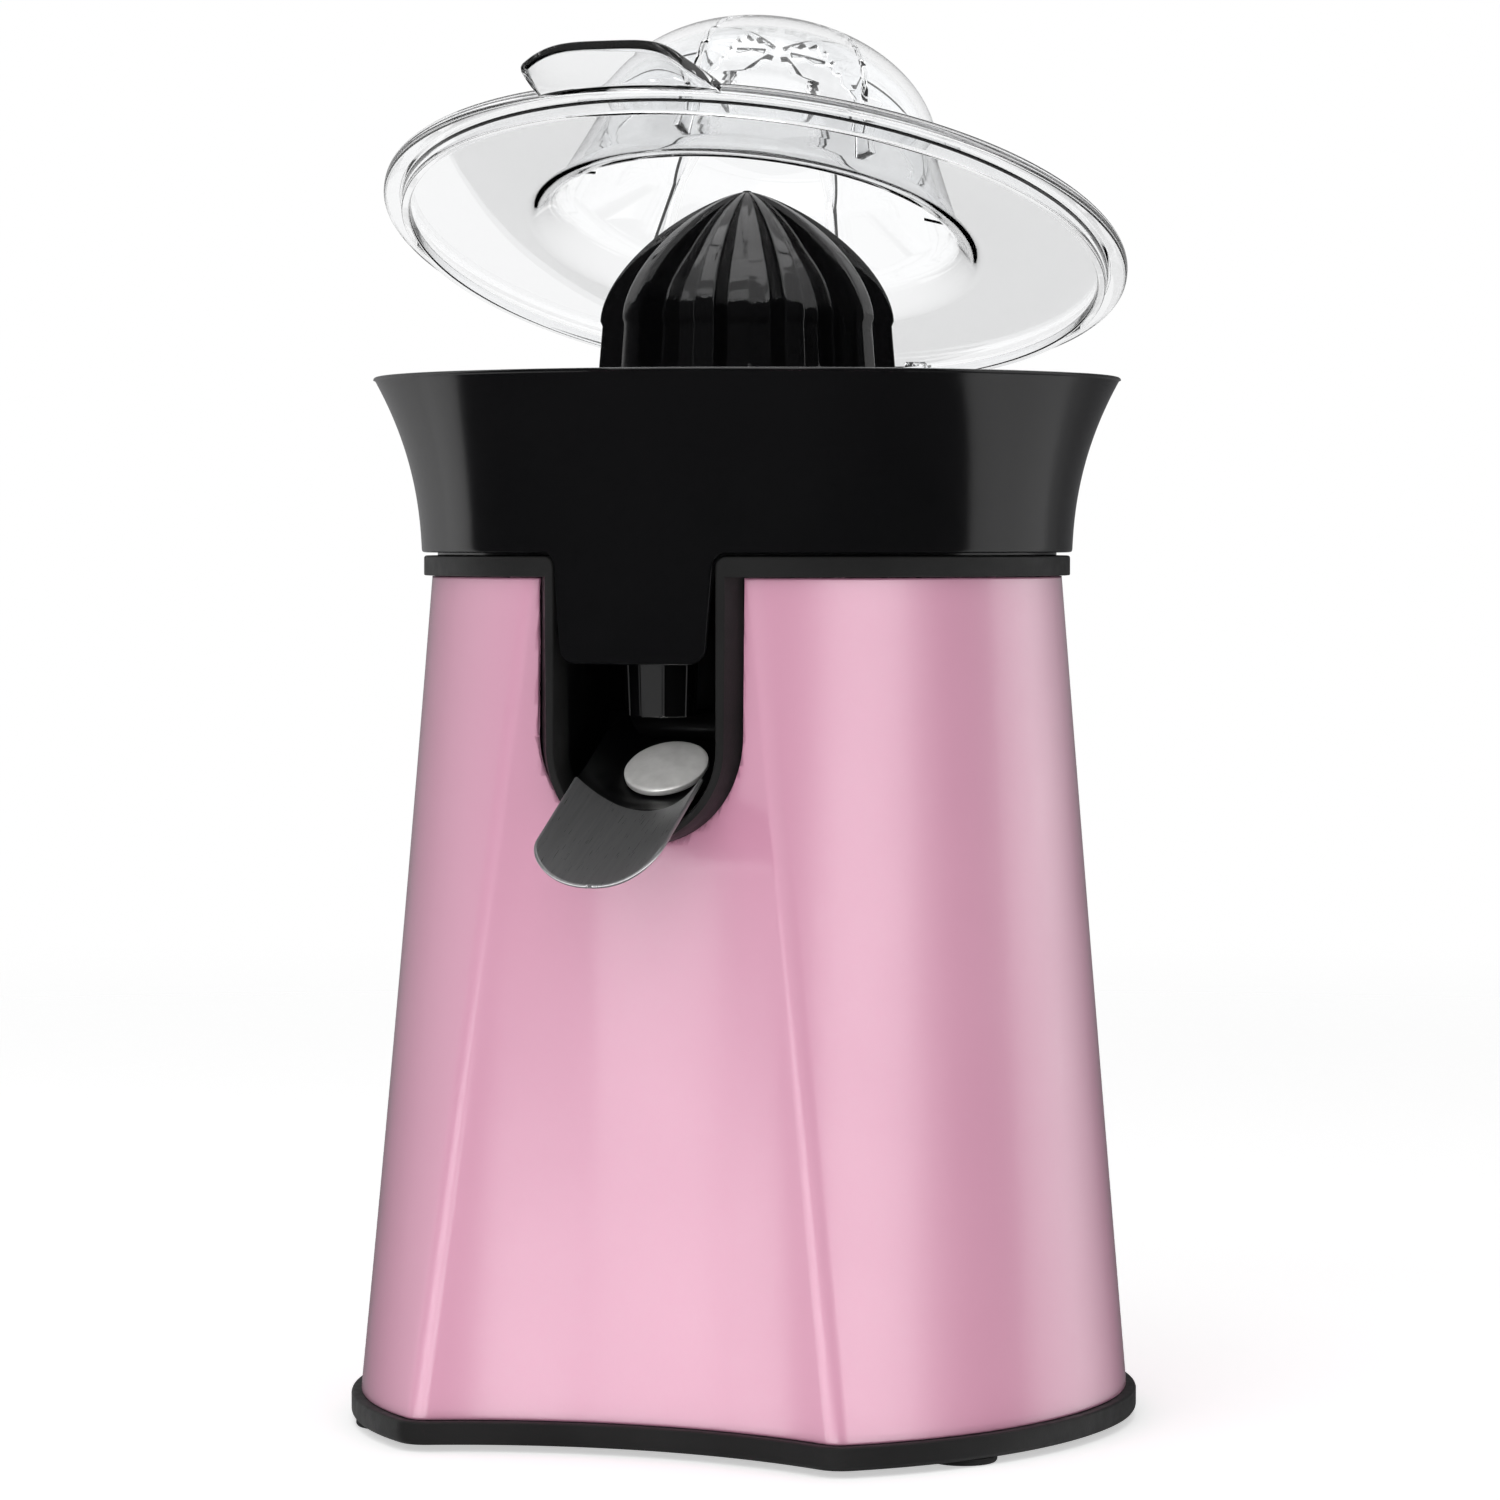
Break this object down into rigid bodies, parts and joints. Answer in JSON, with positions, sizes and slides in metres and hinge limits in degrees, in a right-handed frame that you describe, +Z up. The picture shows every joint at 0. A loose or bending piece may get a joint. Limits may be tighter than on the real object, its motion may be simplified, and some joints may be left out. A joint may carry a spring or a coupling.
{
  "type": "citrus press juicer",
  "caption": "Electric citrus press with a creased conical housing, flared juice bowl, ribbed reamer, clear domed lid on a rear hinge and a flip-up drip-stop spout.",
  "frame": {"origin": "on the spindle axis, at the plane of the undersides of the four rubber feet", "axes": "+Z up along the spindle, front with the spout and the lid's tab towards -Y, lid hinge towards +Y, +X to the right seen from the front"},
  "size_m": [0.1784, 0.1895, 0.3193],
  "materials": {
    "pink_lacquer": "glossy pastel pink lacquer",
    "gloss_black": "deep gloss black moulding",
    "satin_black": "satin black moulding",
    "clear_plastic": "clear moulded plastic",
    "brushed_lip": "brushed stainless steel",
    "satin_disc": "satin silver",
    "rubber_black": "soft black rubber",
    "steel": "machined steel",
    "lamination": "stacked steel laminations",
    "copper": "enamelled copper winding",
    "zinc": "pressed and die cast metal",
    "bronze": "sintered bronze",
    "natural_nylon": "natural nylon",
    "red_plastic": "red moulded plastic"
  },
  "bodies": {
    "housing": {"base_tray": "satin_black", "rubber_feet": "rubber_black", "tie_screws": "steel", "housing_front": "pink_lacquer", "housing_rear": "pink_lacquer", "housing_left": "pink_lacquer", "housing_right": "pink_lacquer", "top_deck": "satin_black", "spout_bay": "satin_black", "cord_grommet": "rubber_black", "motor_stator": "lamination", "motor_coil": "copper", "motor_brackets": "zinc", "motor_screws": "steel", "gearbox_plate": "zinc", "gearbox_cover": "zinc", "gearbox_screws": "steel", "deck_pillars": "zinc", "idler_axle": "steel", "lower_bush": "bronze", "upper_bush": "bronze", "spindle_seal": "rubber_black", "return_spring": "steel", "switch_body": "satin_black", "spout_pin": "steel"},
    "rotor": {"motor_rotor": "lamination", "motor_pinion": "bronze", "cooling_fan": "satin_black"},
    "idler": {"idler_gear": "natural_nylon"},
    "output": {"output_gear": "natural_nylon"},
    "press_pad": {"thrust_pad": "natural_nylon"},
    "switch_button": {"switch_plunger": "red_plastic"},
    "spindle": {"drive_spindle": "steel"},
    "reamer": {"reamer_cone": "gloss_black"},
    "bowl": {"juice_bowl": "gloss_black", "strainer": "gloss_black", "hinge_bracket": "gloss_black"},
    "lid": {"lid": "clear_plastic", "hinge_pin": "steel"},
    "spout": {"spout_body": "gloss_black", "spout_lip": "brushed_lip", "stopper_disc": "satin_disc", "stopper_gasket": "rubber_black"}
  },
  "joints": [
    {"name": "cone_drive", "type": "hinge", "parent": "housing", "child": "output", "pos_m": [0, 0, 0.094], "axis": [0, 0, 1], "continuous": true},
    {"name": "idler_spin", "type": "hinge", "parent": "housing", "child": "idler", "pos_m": [0.02732, 0.0176, 0.085], "axis": [0, 0, 1], "continuous": true},
    {"name": "motor_spin", "type": "hinge", "parent": "housing", "child": "rotor", "pos_m": [0, 0.03, 0.04], "axis": [0, 0, 1], "continuous": true},
    {"name": "shaft_press", "type": "slide", "parent": "housing", "child": "press_pad", "axis": [0, 0, 1], "range_m": [-0.0025, 0], "stiffness_N_per_m": 2400, "springref_m": 0.004, "deforming": ["return_spring"]},
    {"name": "switch_click", "type": "slide", "parent": "housing", "child": "switch_button", "axis": [0, 0, 1], "range_m": [-0.001, 0]},
    {"name": "spindle_spin", "type": "hinge", "parent": "press_pad", "child": "spindle", "pos_m": [0, 0, 0.15], "axis": [0, 0, 1], "continuous": true},
    {"name": "bowl_lift", "type": "slide", "parent": "housing", "child": "bowl", "axis": [0, 0, 1], "range_m": [0, 0.09]},
    {"name": "cone_lift", "type": "slide", "parent": "spindle", "child": "reamer", "axis": [0, 0, 1], "range_m": [0, 0.09]},
    {"name": "lid_hinge", "type": "hinge", "parent": "bowl", "child": "lid", "pos_m": [0, 0.0885, 0.2389], "axis": [-1, 0, 0], "range_deg": [-19.6, 70]},
    {"name": "spout_flip", "type": "hinge", "parent": "housing", "child": "spout", "pos_m": [0, -0.036, 0.1585], "axis": [-1, 0, 0], "range_deg": [0, 33]}
  ],
  "couplings": [
    {"joint": "idler_spin", "follows": "motor_spin", "ratio": -0.33333},
    {"joint": "cone_drive", "follows": "motor_spin", "ratio": 0.1},
    {"joint": "spindle_spin", "follows": "motor_spin", "ratio": 0.1},
    {"joint": "cone_lift", "follows": "bowl_lift", "ratio": 1},
    {"joint": "switch_click", "follows": "shaft_press", "ratio": 0.4}
  ]
}
